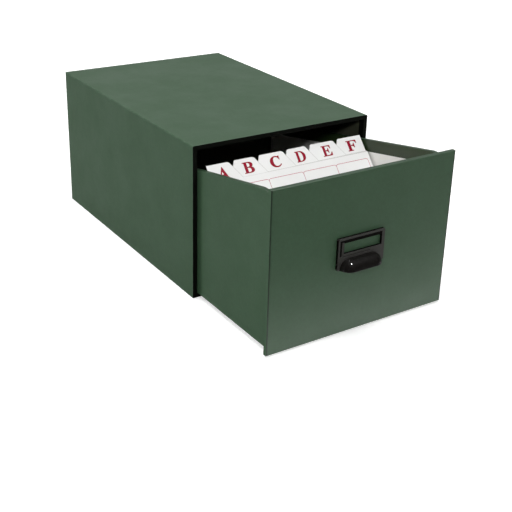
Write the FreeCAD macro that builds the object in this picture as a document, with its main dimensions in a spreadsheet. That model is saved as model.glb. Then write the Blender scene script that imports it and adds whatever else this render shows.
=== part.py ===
import FreeCAD, Part
import os
import re
import Sketcher
from FreeCAD import Placement, Rotation, Vector

# Index card drawer: a board case covered in cloth paper, a sliding drawer with a
# flat front, a label holder with a cup pull, and six index dividers on a backrest.
# Millimetres and degrees. X runs to the right seen from the front, Y to the back,
# Z up. The origin is the centre of the case's underside.

doc = FreeCAD.newDocument("index_card_drawer")
sheet = doc.addObject("Spreadsheet::Sheet", "sizes")

DRIVING_SIZES = [
    ("case_width", 130.0, "outside width of the case"),
    ("case_height", 99.4, "outside height of the case"),
    ("case_depth", 187.5, "outside depth of the case"),
    ("board", 2.2, "thickness of the grey board"),
    ("cloth", 0.3, "thickness of the covering cloth paper"),
    ("paper", 0.2, "thickness of the lining paper"),
    ("edge_radius", 0.8, "rounding of the covered edges"),
    ("rim_band", 4.6, "depth of the black binding inside the rim"),
    ("side_gap", 0.6, "drawer to case, each side"),
    ("floor_gap", 0.25, "drawer's underside to the case's floor"),
    ("ceiling_gap", 0.35, "drawer's highest edge to the case's ceiling"),
    ("back_gap", 1.8, "drawer's end to the case's back when shut"),
    ("pull_out", 78.9, "how far the drawer stands open at rest"),
    ("wall_level", 11.5, "level length of the side walls behind the front"),
    ("wall_back_height", 62.8, "height of the drawer's walls at the back"),
    ("turn_in", 7.8, "cloth turned in over the drawer's top edges"),
    ("panel_rise", 0.9, "front panel above the case's top"),
    ("panel_lift", 1.1, "front panel above the case's underside"),
    ("panel_border", 8.0, "cloth turned over the panel's back"),
    ("holder_width", 33.4, "label holder plate"),
    ("holder_height", 19.5, "label holder plate"),
    ("holder_base", 43.1, "plate's lower edge above the underside"),
    ("holder_shift", 2.9, "plate's centre to the left of the middle"),
    ("holder_sheet", 0.7, "thickness of the plate's sheet"),
    ("holder_lift", 1.1, "room for a label behind the plate"),
    ("holder_corner", 0.8, "rounding of the plate's corners"),
    ("lip_inset", 0.4, "plate's edge to the lip that carries it"),
    ("border_width", 1.2, "plate's border outside the label slot"),
    ("slot_width", 1.4, "label slot along the window's left and upper side"),
    ("slot_end_gap", 1.4, "label slot's lower end below the window"),
    ("window_width", 27.2, "label window"),
    ("window_height", 6.5, "label window"),
    ("window_top", 3.2, "window below the plate's upper edge"),
    ("window_right", 2.1, "window to the plate's right edge"),
    ("pull_length", 29.0, "cup pull"),
    ("pull_radius", 6.4, "how far the cup pull stands out"),
    ("pull_wall", 0.9, "thickness of the cup pull"),
    ("pull_shift", 3.6, "pull's centre to the left of the middle"),
    ("pull_rise", 0.3, "pull's mouth above the plate's lower edge"),
    ("prong_width", 2.4, "prong clenched behind the panel's board"),
    ("prong_thick", 0.6, "prong clenched behind the panel's board"),
    ("prong_foot", 3.4, "bent length of a prong"),
    ("prong_play", 0.1, "room round a prong in its slit"),
    ("prong_inset", 3.2, "prong's middle from the plate's or pull's end"),
    ("card_thick", 0.25, "thickness of a divider"),
    ("card_top_gap", 9.2, "tops of the leaning tabs to the case's ceiling"),
    ("tab_height", 11.0, "height of a tab"),
    ("tab_left_corner", 0.8, "rounding of a tab's left corner"),
    ("tab_right_corner", 2.6, "rounding of a tab's right corner"),
    ("tab_flare", 6.4, "sideways run of a tab's slanted side"),
    ("card_left_gap", 0.3, "divider to the left lining"),
    ("card_right_gap", 1.5, "divider to the right lining"),
    ("card_pitch", 0.42, "spacing of the dividers along the drawer"),
    ("card_lean", 40.0, "dividers lean back from upright, degrees"),
    ("card_rise", 0.3, "divider's lower edge above the lining"),
    ("stack_gap", 3.85, "front lining to the first divider's foot"),
    ("rest_width", 111.0, "width of the backrest"),
    ("rest_sheet", 1.2, "thickness of the backrest's sheet"),
    ("rest_slope", 76.0, "length of the backrest's leaning plate"),
    ("rest_foot", 54.0, "length of the backrest's foot"),
    ("rest_clear", 0.12, "backrest to the last divider"),
    ("rest_rise", 0.1, "backrest's foot above the lining"),
    ("cheek_height", 26.0, "height of the backrest's side cheeks"),
    ("overrun", 2.0, "how far a cutting solid runs past a face"),
]
# Where each tab's top starts and ends, in shares of the divider's width
TAB_START_SHARES = [0.0, 0.167, 0.323, 0.501, 0.656, 0.843]
TAB_END_SHARES = [0.131, 0.285, 0.466, 0.617, 0.806, 1.0]
NEAR_SHARE = 0.001

for row, (name, size, note) in enumerate(DRIVING_SIZES, start=1):
    sheet.set("A%d" % row, name)
    sheet.set("B%d" % row, str(size))
    sheet.set("C%d" % row, note)
    sheet.setAlias("B%d" % row, name)
doc.recompute()

sizes = {name for name, size, note in DRIVING_SIZES}

# Sizes worked out from the driving ones
rules = {
    "case_wall": "board + cloth + paper",
    "half_width": "case_width / 2",
    "case_front": "-case_depth / 2",
    "case_back": "case_depth / 2",
    "inner_half": "half_width - case_wall",
    "ceiling": "case_height - case_wall",
    "binding_end": "case_front + rim_band",
    "drawer_half": "inner_half - side_gap",
    "drawer_under": "case_wall + floor_gap",
    "drawer_floor": "drawer_under + case_wall",
    "drawer_length": "case_depth - case_wall - back_gap",
    "room_half": "drawer_half - case_wall",
    "room_front": "board + paper",
    "room_length": "drawer_length - case_wall - room_front",
    "panel_face": "case_front - pull_out",
    "front_top": "ceiling - ceiling_gap",
    "back_top": "drawer_under + wall_back_height",
    "slope_share": "(front_top - back_top) / (drawer_length - wall_level)",
    "panel_top": "case_height + panel_rise",
    "panel_height": "panel_top - panel_lift",
    "panel_skin": "panel_face - case_wall",
    "holder_left": "-holder_shift - holder_width / 2",
    "holder_right": "holder_left + holder_width",
    "holder_top": "holder_base + holder_height",
    "holder_face": "panel_skin - holder_lift - holder_sheet",
    "window_end": "holder_right - window_right",
    "window_left": "window_end - window_width",
    "window_base": "holder_top - window_top - window_height",
    "slot_left": "holder_left + border_width",
    "slot_top": "holder_top - border_width",
    "pull_base": "holder_base + pull_rise",
    "pull_half": "pull_length / 2 - pull_radius",
    "card_width": "2 * room_half - card_left_gap - card_right_gap",
    "card_left": "-room_half + card_left_gap",
    "card_foot": "drawer_floor + card_rise",
    "card_height": "(ceiling - card_top_gap - card_foot) / cos(card_lean)",
    "card_body": "card_height - tab_height",
    "first_card": "panel_face + room_front + stack_gap",
    "last_card": "first_card + %d * card_pitch" % (len(TAB_START_SHARES) - 1),
    "rest_base": "drawer_floor + rest_rise",
    "rest_front": "last_card + (card_thick / 2 + rest_clear) / cos(card_lean)"
                  " - (card_foot - rest_base) * tan(card_lean)",
}


def bind(text):
    """Write a rule out in the sheet's own cells."""
    def cell(word):
        if word.group() in rules:
            return "(" + bind(rules[word.group()]) + ")"
        if word.group() in sizes:
            return "sizes." + word.group()
        return word.group()
    return re.sub(r"[a-z]\w*", cell, text)


def value(text):
    """The number that a rule comes to."""
    return float(sheet.evalExpression(bind(text)))


pieces = []


def place(thing, spot):
    """Bind an object's position to three rules."""
    for axis, rule in zip("xyz", spot):
        thing.setExpression("Placement.Base." + axis, bind(rule))


def keep(thing):
    """Count an object among the pieces that are written out."""
    pieces.append(thing)
    return thing


def box(name, spot, span):
    """A box from its lowest corner and its three sides."""
    block = doc.addObject("Part::Box", name)
    block.Label = name
    for side, rule in zip(("Length", "Width", "Height"), span):
        block.setExpression(side, bind(rule))
    place(block, spot)
    return block


def start_body(name, spot=("0", "0", "0")):
    """An empty body with its own name and place."""
    body = doc.addObject("PartDesign::Body", name)
    body.Label = name
    place(body, spot)
    return body


def start_sketch(body, role, lift="0"):
    """An empty sketch on one of the body's own planes, raised along its normal."""
    sketch = body.newObject("Sketcher::SketchObject", body.Name + "_sketch")
    plane = next(f for f in body.Origin.OriginFeatures if f.Role == role)
    sketch.AttachmentSupport = [(plane, "")]
    sketch.MapMode = "FlatFace"
    sketch.setExpression("AttachmentOffset.Base.z", bind(lift))
    return sketch


def fix_point(sketch, line, end, across, up):
    """Hold one end of a line at two rules measured from the sketch's origin."""
    for kind, rule in (("DistanceX", across), ("DistanceY", up)):
        held = Sketcher.Constraint(kind, -1, 1, line, end, value(rule))
        number = sketch.addConstraint(held)
        sketch.setExpression("Constraints[%d]" % number, bind(rule))


def outline(sketch, corners):
    """A closed outline of straight lines through corners given as rules."""
    first = sketch.GeometryCount
    spots = [Vector(value(across), value(up), 0) for across, up in corners]
    count = len(spots)
    for step in range(count):
        sketch.addGeometry(Part.LineSegment(spots[step], spots[(step + 1) % count]), False)
    for step, (across, up) in enumerate(corners):
        following = first + (step + 1) % count
        sketch.addConstraint(Sketcher.Constraint("Coincident", first + step, 2, following, 1))
        fix_point(sketch, first + step, 1, across, up)


def rectangle(sketch, left, low, right, high):
    """A closed rectangle between four rules."""
    outline(sketch, [(left, low), (right, low), (right, high), (left, high)])


def pad(body, sketch, length, side="ahead"):
    """Thicken a sketch ahead of its plane, behind it, or evenly about it."""
    feature = body.newObject("PartDesign::Pad", body.Name + "_pad")
    feature.Profile = sketch
    feature.setExpression("Length", bind(length))
    if side == "even":
        feature.SideType = "Symmetric"
    feature.Reversed = side == "behind"
    doc.recompute()
    return feature


def round_edges(body, radius, chosen):
    """Round those edges of a body whose middle and direction pass a test."""
    grown = body.Tip
    names = []
    for number, edge in enumerate(grown.Shape.Edges, start=1):
        ends = [v.Point for v in edge.Vertexes]
        if len(ends) == 2 and chosen((ends[0] + ends[1]) / 2, ends[1] - ends[0]):
            names.append("Edge%d" % number)
    feature = body.newObject("PartDesign::Fillet", body.Name + "_fillet")
    feature.Base = (grown, names)
    feature.setExpression("Radius", bind(radius))
    doc.recompute()
    return feature


def near(length, rule):
    """Whether a length lies at a rule's value."""
    return abs(length - value(rule)) < NEAR_SHARE * value("board")


def join(name, parts):
    """Several solids fused into one object."""
    whole = doc.addObject("Part::MultiFuse", name)
    whole.Label = name
    whole.Shapes = parts
    return whole


def leave(name, base, tools):
    """What is left of a solid once others have been taken out of it."""
    rest = doc.addObject("Part::Cut", name)
    rest.Label = name
    rest.Base = base
    rest.Tool = join(name + "_taken", tools) if len(tools) > 1 else tools[0]
    return rest


# Case: five boards, black linings, black rim binding and the green covering

def rounded_board(name, base):
    """A lying board of the case whose two long outer edges are eased."""
    body = start_body(name, ("0", "case_front + cloth", base))
    sketch = start_sketch(body, "XZ_Plane")
    rectangle(sketch, "-half_width + cloth", "0", "half_width - cloth", "board")
    pad(body, sketch, "case_depth - 2 * cloth", "behind")
    return body


def is_side_edge(spot, run):
    """Whether an edge runs along Y at the far left or right."""
    return abs(run.y) > value("board") and near(abs(spot.x), "half_width - cloth")


def build_case():
    """The case and everything glued to it."""
    inner_rise = "case_height - 2 * (board + cloth)"
    board_depth = "case_depth - 2 * cloth"
    bottom = keep(rounded_board("case_bottom_board", "cloth"))
    top = keep(rounded_board("case_top_board", "case_height - cloth - board"))
    eased = "edge_radius - cloth"
    round_edges(top, eased, lambda spot, run: is_side_edge(spot, run) and near(spot.z, "board"))

    left = keep(box("case_left_board", ("-half_width + cloth", "case_front + cloth", "cloth + board"),
                    ("board", board_depth, inner_rise)))
    right = keep(box("case_right_board",
                     ("half_width - cloth - board", "case_front + cloth", "cloth + board"),
                     ("board", board_depth, inner_rise)))
    rear = keep(box("case_back_board",
                    ("-half_width + cloth + board", "case_back - cloth - board", "cloth + board"),
                    ("case_width - 2 * (cloth + board)", "board", inner_rise)))

    base_cover = keep(box("case_base_cover", ("-half_width", "case_front + cloth", "0"),
                          ("case_width", "case_depth - cloth", "cloth")))
    back_cover = keep(box("case_back_cover", ("-half_width", "case_back - cloth", "cloth"),
                          ("case_width", "cloth", "case_height - cloth")))

    lining_start = "case_wall - paper"
    floor_lining = keep(box("case_floor_lining", ("-inner_half", "binding_end", lining_start),
                            ("2 * inner_half", "case_back - case_wall - binding_end", "paper")))
    back_lining = keep(box("case_back_lining", ("-inner_half", "case_back - case_wall", lining_start),
                           ("2 * inner_half", "paper", "ceiling - case_wall + paper")))
    hood = start_body("case_wall_lining", ("0", "binding_end", "0"))
    sketch = start_sketch(hood, "XZ_Plane")
    outline(sketch, [("-inner_half - paper", lining_start), ("-inner_half", lining_start),
                     ("-inner_half", "ceiling"), ("inner_half", "ceiling"),
                     ("inner_half", lining_start), ("inner_half + paper", lining_start),
                     ("inner_half + paper", "ceiling + paper"),
                     ("-inner_half - paper", "ceiling + paper")])
    pad(hood, sketch, "case_back - case_wall + paper - binding_end", "behind")
    keep(hood)

    binding = start_body("case_rim_binding", ("0", "case_front", "0"))
    ring = start_sketch(binding, "XZ_Plane")
    rectangle(ring, "-half_width", "0", "half_width", "case_height")
    rectangle(ring, "-inner_half", "case_wall", "inner_half", "ceiling")
    pad(binding, ring, "cloth", "behind")
    round_edges(binding, "edge_radius",
                lambda spot, run: near(abs(spot.x), "half_width") and near(spot.z, "case_height"))
    band = start_sketch(binding, "XZ_Plane")
    rectangle(band, "-inner_half - paper", lining_start, "inner_half + paper", "ceiling + paper")
    rectangle(band, "-inner_half", "case_wall", "inner_half", "ceiling")
    pad(binding, band, "rim_band", "behind")
    keep(binding)

    block = start_body("case_block", ("0", "case_front + cloth", "0"))
    sketch = start_sketch(block, "XZ_Plane")
    rectangle(sketch, "-half_width", "cloth", "half_width", "case_height")
    pad(block, sketch, "case_depth - 2 * cloth", "behind")
    round_edges(block, "edge_radius",
                lambda spot, run: abs(run.y) > value("board") and near(spot.z, "case_height"))
    room = box("case_room", ("-inner_half", "case_front - overrun", "case_wall"),
               ("2 * inner_half", "case_depth - case_wall + overrun", "ceiling - case_wall"))
    keep(leave("case_wrap_cover", block,
               [bottom, top, left, right, rear, base_cover, floor_lining,
                back_lining, hood, binding, room]))


# Drawer: walls that slope down to the back, cloth outside, white paper inside

def wall_corners(start, drop, low):
    """Side outline of a drawer wall whose top lies a given drop below the covered edge."""
    return [(start, low), ("drawer_length - cloth", low),
            ("drawer_length - cloth", "back_top + cloth * slope_share - " + drop),
            ("wall_level", "front_top - " + drop), (start, "front_top - " + drop)]


def side_wall(name, left_edge, thick, corners):
    """An upright sheet along the drawer, with its outline seen from the side."""
    body = start_body(name, (left_edge, "panel_face", "0"))
    sketch = start_sketch(body, "YZ_Plane")
    outline(sketch, corners)
    pad(body, sketch, thick)
    return keep(body)


def lining_corners():
    """Side outline of a side lining, between the front and back boards."""
    near_end = "board"
    far_end = "drawer_length - cloth - board"
    far_top = "back_top + (cloth + board) * slope_share - turn_in"
    low = "drawer_floor - paper"
    return [(near_end, low), (far_end, low), (far_end, far_top),
            ("wall_level", "front_top - turn_in"), (near_end, "front_top - turn_in")]


def build_drawer():
    """The drawer's box: boards, linings, base cover and the green wrap."""
    board_low = "drawer_under + cloth"
    corners = wall_corners("0", "cloth", board_low)
    taken = [
        side_wall("drawer_left_board", "-drawer_half + cloth", "board", corners),
        side_wall("drawer_right_board", "drawer_half - cloth - board", "board", corners),
        side_wall("drawer_left_lining", "-room_half - paper", "paper", lining_corners()),
        side_wall("drawer_right_lining", "room_half", "paper", lining_corners()),
    ]
    between = "2 * (drawer_half - cloth - board)"
    inner_left = "-drawer_half + cloth + board"
    standing = "drawer_under + cloth + board"
    far_board = "panel_face + drawer_length - cloth - board"
    far_top = "back_top - cloth"
    lining_low = "drawer_floor - paper"
    taken += [keep(block) for block in (
        box("drawer_floor_board", (inner_left, "panel_face", board_low),
            (between, "drawer_length - cloth", "board")),
        box("drawer_front_board", (inner_left, "panel_face", standing),
            (between, "board", "front_top - cloth - drawer_under - cloth - board")),
        box("drawer_back_board", (inner_left, far_board, standing),
            (between, "board", far_top + " - (drawer_under + cloth + board)")),
        box("drawer_floor_lining", ("-room_half", "panel_face + room_front", lining_low),
            ("2 * room_half", "room_length", "paper")),
        box("drawer_front_lining", ("-room_half", "panel_face + board", lining_low),
            ("2 * room_half", "paper", "front_top - turn_in - drawer_floor + paper")),
        box("drawer_back_lining", ("-room_half", "panel_face + room_front + room_length", lining_low),
            ("2 * room_half", "paper", "back_top - turn_in - drawer_floor + paper")),
    )]
    taken.append(box("drawer_room", ("-room_half", "panel_face + room_front", "drawer_floor"),
                     ("2 * room_half", "room_length", "front_top - drawer_floor + overrun")))
    keep(box("drawer_base_cover", ("-drawer_half", "panel_face", "drawer_under"),
             ("2 * drawer_half", "drawer_length", "cloth")))

    block = start_body("drawer_block", ("0", "panel_face", "0"))
    sketch = start_sketch(block, "YZ_Plane")
    outline(sketch, [("0", board_low), ("drawer_length", board_low), ("drawer_length", "back_top"),
                     ("wall_level", "front_top"), ("0", "front_top")])
    pad(block, sketch, "2 * drawer_half", "even")
    keep(leave("drawer_wrap_cover", block, taken))


# Front panel: a board in cloth, with the label holder and the pull clenched through it

def clench(name, middle, low, foot_up, root):
    """A prong from its root through the panel's board, bent over behind it."""
    foot_low = low if foot_up else low + " - prong_foot + prong_thick"
    through = box(name + "_shank", (middle + " - prong_width / 2", root, low),
                  ("prong_width", "panel_face - paper - (%s)" % root, "prong_thick"))
    foot = box(name + "_foot", (middle + " - prong_width / 2", "panel_face - paper - prong_thick", foot_low),
               ("prong_width", "prong_thick", "prong_foot"))
    return [through, foot]


def slit(name, middle, low, foot_up):
    """The slit and the shallow pocket that a prong needs in the panel's board."""
    left = middle + " - prong_width / 2 - prong_play"
    wide = "prong_width + 2 * prong_play"
    foot_low = low if foot_up else low + " - prong_foot + prong_thick"
    hole = box(name + "_slit", (left, "holder_face - overrun", low + " - prong_play"),
               (wide, "case_wall + holder_lift + holder_sheet + overrun",
                "prong_thick + 2 * prong_play"))
    pocket = box(name + "_pocket", (left, "panel_face - paper - prong_thick - prong_play",
                                    foot_low + " - prong_play"),
                 (wide, "prong_thick + prong_play", "prong_foot + 2 * prong_play"))
    return [hole, pocket]


def capsule(name, radius):
    """A lying capsule of the pull's length, round ended, at a given radius."""
    rod = doc.addObject("Part::Cylinder", name + "_rod")
    rod.setExpression("Radius", bind(radius))
    rod.setExpression("Height", bind("2 * pull_half"))
    rod.Placement = Placement(Vector(0, 0, 0), Rotation(Vector(0, 1, 0), 90))
    place(rod, ("-pull_shift - pull_half", "holder_face", "pull_base"))
    ends = []
    for side, word in (("-", "left"), ("+", "right")):
        ball = doc.addObject("Part::Sphere", name + "_" + word)
        ball.setExpression("Radius", bind(radius))
        place(ball, ("-pull_shift %s pull_half" % side, "holder_face", "pull_base"))
        ends.append(ball)
    return join(name, [rod] + ends)


def prong_spots(part, centre, reach, low, foot_up):
    """Name, middle, height and foot direction of a part's left and right prong."""
    return [("%s_prong_%s" % (part, word),
             "%s %s (%s - prong_inset / 2)" % (centre, side, reach), low, foot_up)
            for side, word in (("-", "left"), ("+", "right"))]


def build_panel(spots):
    """The panel's board and backing, and the cloth round both."""
    core = box("panel_core", ("-half_width + cloth", "panel_skin + cloth", "panel_lift + cloth"),
               ("case_width - 2 * cloth", "board", "panel_height - 2 * cloth"))
    openings = []
    cloth_holes = []
    for name, middle, low, foot_up in spots:
        openings += slit(name, middle, low, foot_up)
        cloth_holes += slit(name + "_cloth", middle, low, foot_up)[:1]
    keep(leave("front_panel_board", core, openings))

    backing = keep(box("front_panel_backing",
                       ("-half_width + panel_border", "panel_face - paper", "panel_lift + panel_border"),
                       ("case_width - 2 * panel_border", "paper", "panel_height - 2 * panel_border")))
    block = start_body("panel_block", ("0", "panel_face", "0"))
    sketch = start_sketch(block, "XZ_Plane")
    rectangle(sketch, "-half_width", "panel_lift", "half_width", "panel_top")
    pad(block, sketch, "case_wall")
    round_edges(block, "edge_radius / 2", lambda spot, run: near(spot.y, "-case_wall"))
    keep(leave("front_panel_cover", block, [core, backing] + cloth_holes))


def build_holder(own_spots, pull_spots):
    """The plate with its window and label slot, the lips and prongs that carry it."""
    plate = start_body("holder_plate", ("0", "panel_skin - holder_lift", "0"))
    face = start_sketch(plate, "XZ_Plane")
    rectangle(face, "holder_left", "holder_base", "holder_right", "holder_top")
    rectangle(face, "window_left", "window_base", "window_end", "window_base + window_height")
    slot_low = "window_base - slot_end_gap"
    outline(face, [("slot_left", slot_low), ("slot_left + slot_width", slot_low),
                   ("slot_left + slot_width", "slot_top - slot_width"),
                   ("window_end", "slot_top - slot_width"),
                   ("window_end", "slot_top"), ("slot_left", "slot_top")])
    pad(plate, face, "holder_sheet")
    round_edges(plate, "holder_corner", lambda spot, run: abs(run.y) > value("holder_sheet") / 2
                and (near(spot.x, "holder_left") or near(spot.x, "holder_right")))

    lips = start_body("holder_lips", ("0", "panel_skin", "0"))
    wall = start_sketch(lips, "XZ_Plane")
    low = "holder_base + lip_inset"
    high = "holder_top - lip_inset"
    far = "holder_right - lip_inset"
    outline(wall, [("holder_left", low), (far, low), (far, high), ("holder_left", high),
                   ("holder_left", high + " - holder_sheet"),
                   (far + " - holder_sheet", high + " - holder_sheet"),
                   (far + " - holder_sheet", low + " + holder_sheet"),
                   ("holder_left", low + " + holder_sheet")])
    pad(lips, wall, "holder_lift + holder_sheet / 2")
    prongs = []
    for spot in own_spots:
        prongs += clench(*spot, "holder_face + holder_sheet / 2")
    passing = []
    for name, middle, low, foot_up in pull_spots:
        passing += slit(name + "_plate", middle, low, foot_up)[:1]
    keep(leave("label_holder", join("holder_whole", [plate, lips] + prongs), passing))


def build_pull(own_spots):
    """The cup pull: a quarter of a hollow capsule, with two prongs."""
    skin = leave("pull_skin", capsule("pull_outer", "pull_radius"),
                 [capsule("pull_inner", "pull_radius - pull_wall")])
    quarter = box("pull_quarter", ("-pull_shift - pull_length", "holder_face - pull_length", "pull_base"),
                  ("2 * pull_length", "pull_length", "pull_length"))
    shell = doc.addObject("Part::Common", "pull_shell")
    shell.Label = "pull_shell"
    shell.Base = skin
    shell.Tool = quarter
    prongs = []
    for spot in own_spots:
        prongs += clench(*spot, "holder_face")
    keep(join("cup_pull", [shell] + prongs))


def build_front():
    """The panel, its covering, the label holder and the cup pull."""
    holder_spots = prong_spots("holder", "-holder_shift", "holder_width / 2",
                               "holder_base + prong_inset", True)
    pull_spots = prong_spots("pull", "-pull_shift", "pull_half",
                             "pull_base + pull_radius - pull_wall", False)
    build_panel(holder_spots + pull_spots)
    build_holder(holder_spots, pull_spots)
    build_pull(pull_spots)


# Dividers: one card each, every tab a step further to the right

def is_tab_edge(spot, run, across):
    """Whether an edge crosses a card's thickness at one upper corner of its tab."""
    return (abs(run.y) > value("card_thick") / 2 and near(spot.z, "card_height")
            and near(spot.x, across))


def build_divider(order, start_share, end_share):
    """One divider, standing on its foot and leaning back with the stack."""
    body = start_body("divider_" + "abcdef"[order],
                      ("0", "first_card + %d * card_pitch" % order, "card_foot"))
    body.Placement = Placement(body.Placement.Base, Rotation(Vector(1, 0, 0), -value("card_lean")))
    body.setExpression("Placement.Rotation.Angle", bind("-card_lean"))
    sketch = start_sketch(body, "XZ_Plane")
    start = "card_left + card_width * %s" % start_share
    end = "card_left + card_width * %s" % end_share
    right = "card_left + card_width"
    corners = [("card_left", "0"), (right, "0")]
    if end_share < 1:
        corners += [(right, "card_body"), (end + " + tab_flare", "card_body")]
    corners += [(end, "card_height"), (start, "card_height")]
    if start_share > 0:
        corners += [(start + " - tab_flare", "card_body"), ("card_left", "card_body")]
    outline(sketch, corners)
    pad(body, sketch, "card_thick", "even")
    if start_share > 0:
        round_edges(body, "tab_left_corner", lambda spot, run: is_tab_edge(spot, run, start))
    if end_share < 1:
        round_edges(body, "tab_right_corner", lambda spot, run: is_tab_edge(spot, run, end))
    return keep(body)


# Backrest: a folded sheet that lies on the drawer's floor and carries the lean

def build_backrest():
    """Leaning plate, foot and two side cheeks in one folded sheet."""
    fold = start_body("rest_fold", ("0", "rest_front", "rest_base"))
    sketch = start_sketch(fold, "YZ_Plane")
    skew = "rest_sheet / cos(card_lean)"
    lean_run = "rest_slope * sin(card_lean)"
    lean_rise = "rest_slope * cos(card_lean)"
    outline(sketch, [
        ("0", "0"), ("rest_foot", "0"), ("rest_foot", "rest_sheet"),
        (skew + " + rest_sheet * tan(card_lean)", "rest_sheet"),
        (lean_run + " + rest_sheet * cos(card_lean)", lean_rise + " - rest_sheet * sin(card_lean)"),
        (lean_run, lean_rise),
    ])
    pad(fold, sketch, "rest_width", "even")
    cheeks = []
    for name, left in (("rest_cheek_left", "-rest_width / 2"),
                       ("rest_cheek_right", "rest_width / 2 - rest_sheet")):
        cheek = start_body(name, (left, "rest_front", "rest_base"))
        sketch = start_sketch(cheek, "YZ_Plane")
        outline(sketch, [
            (skew, "rest_sheet / 2"),
            ("rest_foot - rest_sheet", "rest_sheet / 2"),
            (skew + " + cheek_height * tan(card_lean)", "cheek_height"),
        ])
        pad(cheek, sketch, "rest_sheet")
        cheeks.append(cheek)
    keep(join("card_backrest", [fold] + cheeks))


build_case()
build_drawer()
build_front()
for order, shares in enumerate(zip(TAB_START_SHARES, TAB_END_SHARES)):
    build_divider(order, *shares)
build_backrest()
doc.recompute()

for thing in doc.Objects:
    if "Invalid" in thing.State or "Error" in thing.State:
        raise RuntimeError("%s did not build: %s" % (thing.Label, thing.State))
for piece in pieces:
    if piece.Shape.isNull() or not piece.Shape.isValid() or not piece.Shape.Solids:
        raise RuntimeError("%s has no sound solid" % piece.Label)

os.makedirs("parts", exist_ok=True)
for piece in pieces:
    piece.Shape.exportStep("parts/%s.step" % piece.Label)
    extent = piece.Shape.BoundBox
    print("%-22s solids %d  volume %9.1f  x %7.2f %7.2f  y %7.2f %7.2f  z %6.2f %6.2f" % (
        piece.Label, len(piece.Shape.Solids), piece.Shape.Volume, extent.XMin, extent.XMax,
        extent.YMin, extent.YMax, extent.ZMin, extent.ZMax))
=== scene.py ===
from math import asin, cos, pi, radians, sin

import bmesh
import bpy
from mathutils import Matrix, Vector


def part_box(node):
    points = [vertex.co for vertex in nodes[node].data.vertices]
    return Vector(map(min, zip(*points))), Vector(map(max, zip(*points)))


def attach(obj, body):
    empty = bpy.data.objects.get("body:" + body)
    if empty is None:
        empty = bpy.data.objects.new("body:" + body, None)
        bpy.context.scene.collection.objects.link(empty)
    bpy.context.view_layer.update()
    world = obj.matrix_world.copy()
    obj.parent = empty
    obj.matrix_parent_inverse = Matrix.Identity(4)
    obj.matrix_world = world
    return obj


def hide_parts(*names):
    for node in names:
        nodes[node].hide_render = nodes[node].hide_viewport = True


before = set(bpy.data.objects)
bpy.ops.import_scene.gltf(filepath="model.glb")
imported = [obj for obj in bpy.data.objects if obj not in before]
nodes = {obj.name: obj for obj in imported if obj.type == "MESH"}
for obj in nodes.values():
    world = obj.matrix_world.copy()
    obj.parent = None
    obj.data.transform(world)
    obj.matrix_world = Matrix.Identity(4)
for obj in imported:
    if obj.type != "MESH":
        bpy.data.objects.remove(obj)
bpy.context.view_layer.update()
scene = bpy.context.scene
mm = 0.001
print("frame loaded:", len(nodes), "nodes")


# shader tree helpers

def tone(*chart):  # a paint chart colour, 0 to 255, as Blender's linear one
    shares = [value / 255 for value in chart]
    return [s / 12.92 if s <= 0.04045 else ((s + 0.055) / 1.055) ** 2.4 for s in shares] + [1]


def feed(tree, socket, value):
    if isinstance(value, bpy.types.NodeSocket):
        tree.links.new(value, socket)
    elif value is not None:
        socket.default_value = value


def addNode(tree, kind, inputs=None, **settings):
    node = tree.nodes.new("ShaderNode" + kind)
    for key, value in settings.items():
        setattr(node, key, value)
    for key, value in (inputs or {}).items():
        feed(tree, node.inputs[key], value)
    return node


def calc(tree, operation, first, second=None, clamp=False):
    values = {0: first, 1: second}
    return addNode(tree, "Math", values, operation=operation, use_clamp=clamp).outputs[0]


def mixColour(tree, share, first, second):
    inputs = {0: share, 6: first, 7: second}
    return addNode(tree, "Mix", inputs, data_type="RGBA").outputs[2]


def ramp(tree, value, low, high, toLow=0.0, toHigh=1.0):  # a clamped change of range
    inputs = {0: value, 1: low, 2: high, 3: toLow, 4: toHigh}
    return addNode(tree, "MapRange", inputs).outputs[0]


def noise(tree, place, scale, detail=2.0, roughness=0.5, stretch=None):
    if stretch:
        place = addNode(tree, "Mapping", {"Vector": place, "Scale": stretch}).outputs[0]
    inputs = {"Vector": place, "Scale": scale, "Detail": detail, "Roughness": roughness}
    return addNode(tree, "TexNoise", inputs).outputs["Fac"]


def newGroup(name, inputs, outputs):
    group = bpy.data.node_groups.new(name, "ShaderNodeTree")
    for label, kind, value in inputs:
        socket = group.interface.new_socket(
            label, in_out="INPUT", socket_type="NodeSocket" + kind)
        if value is not None:
            socket.default_value = value
    for label, kind in outputs:
        group.interface.new_socket(
            label, in_out="OUTPUT", socket_type="NodeSocket" + kind)
    return group, group.nodes.new("NodeGroupInput").outputs, \
        group.nodes.new("NodeGroupOutput").inputs


def place(tree, group, **inputs):
    node = tree.nodes.new("ShaderNodeGroup")
    node.node_tree = group
    for key, value in inputs.items():
        feed(tree, node.inputs[key], value)
    return node.outputs


def objectPlace(tree):
    return addNode(tree, "TexCoord").outputs["Object"]


def axis(tree, vector, letter):
    return addNode(tree, "SeparateXYZ", {0: vector}).outputs[letter]


def surfaceNormal(tree):
    return addNode(tree, "NewGeometry").outputs["Normal"]


def newMaterial(name, roughness, gloss):
    material = bpy.data.materials.new(name)
    material.use_nodes = True
    shader = material.node_tree.nodes["Principled BSDF"].inputs
    shader["Roughness"].default_value = roughness
    shader["Specular IOR Level"].default_value = gloss
    return material, material.node_tree, shader


def bumpFrom(tree, height, distance, strength):
    inputs = {"Height": height, "Distance": distance, "Strength": strength}
    return addNode(tree, "Bump", inputs).outputs[0]


# effects that several finishes share

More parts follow.
